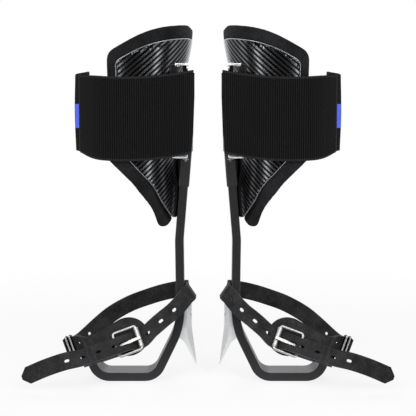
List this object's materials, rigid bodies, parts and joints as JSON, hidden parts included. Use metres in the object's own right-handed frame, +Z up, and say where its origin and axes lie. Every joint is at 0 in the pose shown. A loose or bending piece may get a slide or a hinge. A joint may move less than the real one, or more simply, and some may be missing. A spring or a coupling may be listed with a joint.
{
  "type": "tree climbing spikes",
  "caption": "Mirrored tree climbing spikes: bent shank and stirrup with a steel gaff, carbon calf cuff with an elastic band, and a buckled leather ankle strap.",
  "frame": {"origin": "midway between the two climbers, on the ground plane under the soles of the stirrups", "axes": "+X across the pair towards the climber seen on the right, -Y the front of the leg, +Z up"},
  "size_m": [0.468, 0.1298, 0.4569],
  "materials": {
    "anodised_aluminium": "satin black anodised",
    "forged_steel": "bright ground steel",
    "black_fasteners": "black oxide",
    "sleeve_steel": "satin black coating",
    "carbon_laminate": "clear-coated twill laminate",
    "foam_liner": "matt fabric-faced foam",
    "stainless_sheet": "brushed stainless sheet",
    "bright_rivets": "bright plated",
    "elastic_webbing": "ribbed knitted elastic",
    "hook_tape": "hook and loop",
    "woven_label": "plain woven tape",
    "strap_leather": "fine-grain dyed leather",
    "nickel_plate": "polished nickel plate"
  },
  "bodies": {
    "frames": {"left_stirrup_frame": "anodised_aluminium", "left_gaff": "forged_steel", "left_gaff_bolts": "black_fasteners", "left_ankle_strap": "strap_leather", "left_backing_strap": "strap_leather", "left_buckle_chape": "strap_leather", "left_chape_rivets": "bright_rivets", "left_end_clasp": "nickel_plate", "right_stirrup_frame": "anodised_aluminium", "right_gaff": "forged_steel", "right_gaff_bolts": "black_fasteners", "right_ankle_strap": "strap_leather", "right_backing_strap": "strap_leather", "right_buckle_chape": "strap_leather", "right_chape_rivets": "bright_rivets", "right_end_clasp": "nickel_plate"},
    "left_cuff": {"left_height_sleeve": "sleeve_steel", "left_sleeve_screws": "black_fasteners", "left_cuff_shell": "carbon_laminate", "left_cuff_liner": "foam_liner", "left_cuff_bracket": "stainless_sheet", "left_bracket_rivets": "bright_rivets", "left_front_band": "elastic_webbing", "left_rear_band": "elastic_webbing", "left_closure_patch": "hook_tape", "left_label_tab": "woven_label"},
    "left_front_bar": {"left_front_strap_bar": "stainless_sheet", "left_front_bar_clip": "stainless_sheet"},
    "left_rear_bar": {"left_rear_strap_bar": "stainless_sheet", "left_rear_bar_clip": "stainless_sheet"},
    "left_buckle": {"left_buckle_frame": "nickel_plate"},
    "left_roller": {"left_buckle_roller": "nickel_plate"},
    "left_tongue": {"left_buckle_tongue": "nickel_plate"},
    "left_keeper": {"left_strap_keeper": "strap_leather"},
    "right_cuff": {"right_height_sleeve": "sleeve_steel", "right_sleeve_screws": "black_fasteners", "right_cuff_shell": "carbon_laminate", "right_cuff_liner": "foam_liner", "right_cuff_bracket": "stainless_sheet", "right_bracket_rivets": "bright_rivets", "right_front_band": "elastic_webbing", "right_rear_band": "elastic_webbing", "right_closure_patch": "hook_tape", "right_label_tab": "woven_label"},
    "right_front_bar": {"right_front_strap_bar": "stainless_sheet", "right_front_bar_clip": "stainless_sheet"},
    "right_rear_bar": {"right_rear_strap_bar": "stainless_sheet", "right_rear_bar_clip": "stainless_sheet"},
    "right_buckle": {"right_buckle_frame": "nickel_plate"},
    "right_roller": {"right_buckle_roller": "nickel_plate"},
    "right_tongue": {"right_buckle_tongue": "nickel_plate"},
    "right_keeper": {"right_strap_keeper": "strap_leather"}
  },
  "joints": [
    {"name": "left_cuff_height", "type": "slide", "parent": "frames", "child": "left_cuff", "axis": [0.083, 0, 0.9966], "range_m": [-0.035, 0.01]},
    {"name": "left_front_bar_spin", "type": "hinge", "parent": "left_cuff", "child": "left_front_bar", "pos_m": [-0.029, -0.036, 0.35], "axis": [0, 0, 1], "continuous": true},
    {"name": "left_rear_bar_spin", "type": "hinge", "parent": "left_cuff", "child": "left_rear_bar", "pos_m": [-0.029, 0.036, 0.35], "axis": [0, 0, 1], "continuous": true},
    {"name": "left_buckle_hinge", "type": "hinge", "parent": "frames", "child": "left_buckle", "pos_m": [-0.1158, -0.0458, 0.0514], "axis": [0.3423, -0.5302, -0.7757], "range_deg": [0, 6]},
    {"name": "left_tongue_hinge", "type": "hinge", "parent": "left_buckle", "child": "left_tongue", "pos_m": [-0.1158, -0.0458, 0.0514], "axis": [0.3423, -0.5302, -0.7757], "range_deg": [0, 8]},
    {"name": "left_roller_spin", "type": "hinge", "parent": "left_buckle", "child": "left_roller", "pos_m": [-0.08726, -0.04219, 0.06153], "axis": [-0.3423, 0.5302, 0.7757], "continuous": true},
    {"name": "left_keeper_slide", "type": "slide", "parent": "frames", "child": "left_keeper", "axis": [0.9396, 0.1912, 0.284], "range_m": [-0.005, 0.003]},
    {"name": "right_cuff_height", "type": "slide", "parent": "frames", "child": "right_cuff", "axis": [-0.083, 0, 0.9966], "range_m": [-0.035, 0.01]},
    {"name": "right_front_bar_spin", "type": "hinge", "parent": "right_cuff", "child": "right_front_bar", "pos_m": [0.029, -0.036, 0.35], "axis": [0, 0, 1], "continuous": true},
    {"name": "right_rear_bar_spin", "type": "hinge", "parent": "right_cuff", "child": "right_rear_bar", "pos_m": [0.029, 0.036, 0.35], "axis": [0, 0, 1], "continuous": true},
    {"name": "right_buckle_hinge", "type": "hinge", "parent": "frames", "child": "right_buckle", "pos_m": [0.1158, -0.0458, 0.0514], "axis": [0.3423, 0.5302, 0.7757], "range_deg": [0, 6]},
    {"name": "right_tongue_hinge", "type": "hinge", "parent": "right_buckle", "child": "right_tongue", "pos_m": [0.1158, -0.0458, 0.0514], "axis": [0.3423, 0.5302, 0.7757], "range_deg": [0, 8]},
    {"name": "right_roller_spin", "type": "hinge", "parent": "right_buckle", "child": "right_roller", "pos_m": [0.08726, -0.04219, 0.06153], "axis": [-0.3423, -0.5302, -0.7757], "continuous": true},
    {"name": "right_keeper_slide", "type": "slide", "parent": "frames", "child": "right_keeper", "axis": [-0.9396, 0.1912, 0.284], "range_m": [-0.005, 0.003]}
  ]
}
